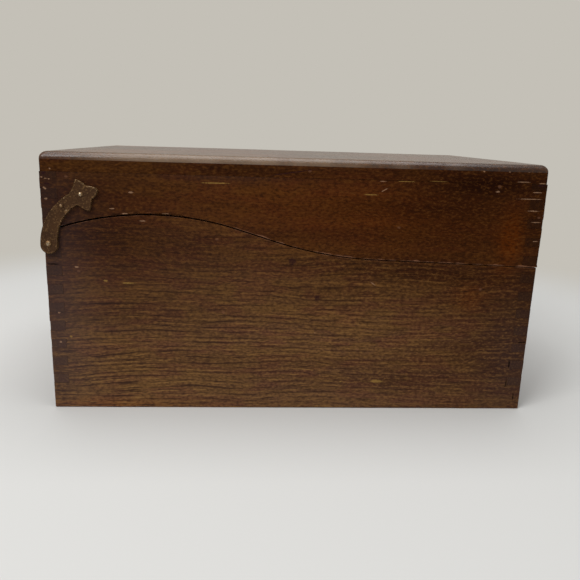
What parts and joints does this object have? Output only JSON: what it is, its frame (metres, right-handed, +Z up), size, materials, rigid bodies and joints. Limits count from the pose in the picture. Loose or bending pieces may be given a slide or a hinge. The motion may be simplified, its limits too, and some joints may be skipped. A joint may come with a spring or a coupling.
{
  "type": "recipe card box",
  "caption": "Dark oak recipe card box, finger-jointed, with a deep lid sawn along an S-curved seam, stamped side hinge arms and a sliding card follower inside.",
  "frame": {"origin": "middle of the underside of the body, on the surface that it stands on", "axes": "+X from the hinge end to the front, along the box; +Y across the box to its right side, as seen by someone who faces the front from behind it; +Z up"},
  "size_m": [0.2365, 0.151, 0.124],
  "materials": {
    "oak_side": "dark stained open-pored oak, worn satin varnish",
    "oak_end": "dark stained oak with end grain at the finger joints, worn satin varnish",
    "oak_top": "dark stained oak, satin varnish with a dull sheen and rubbed edges",
    "oak_bottom": "dark stained oak, thin varnish",
    "plain_oak": "bare oiled oak",
    "bronze": "hammered, dark brown patina with rubbed edges",
    "bronze_nails": "domed, rubbed bright",
    "steel": "rolled, dull"
  },
  "bodies": {
    "body": {"bottom_board": "oak_bottom", "body_left_side": "oak_side", "body_right_side": "oak_side", "body_front": "oak_end", "body_rear": "oak_end", "bottom_nails": "steel", "follower_track": "steel", "track_screws": "steel", "left_hinge_pivot": "bronze_nails", "right_hinge_pivot": "bronze_nails"},
    "lid": {"lid_top": "oak_top", "lid_left_side": "oak_side", "lid_right_side": "oak_side", "lid_front": "oak_end", "lid_rear": "oak_end", "left_hinge_arm": "bronze", "right_hinge_arm": "bronze", "left_hinge_nails": "bronze_nails", "right_hinge_nails": "bronze_nails"},
    "follower": {"follower_block": "plain_oak", "follower_bracket": "steel", "follower_runner": "steel", "follower_rivets": "steel", "bracket_screws": "steel"}
  },
  "joints": [
    {"name": "lid_hinge", "type": "hinge", "parent": "body", "child": "lid", "pos_m": [-0.115, 0, 0.0823], "axis": [0, -1, 0], "range_deg": [0, 123]},
    {"name": "follower_slide", "type": "slide", "parent": "body", "child": "follower", "axis": [1, 0, 0], "range_m": [0, 0.15]}
  ]
}
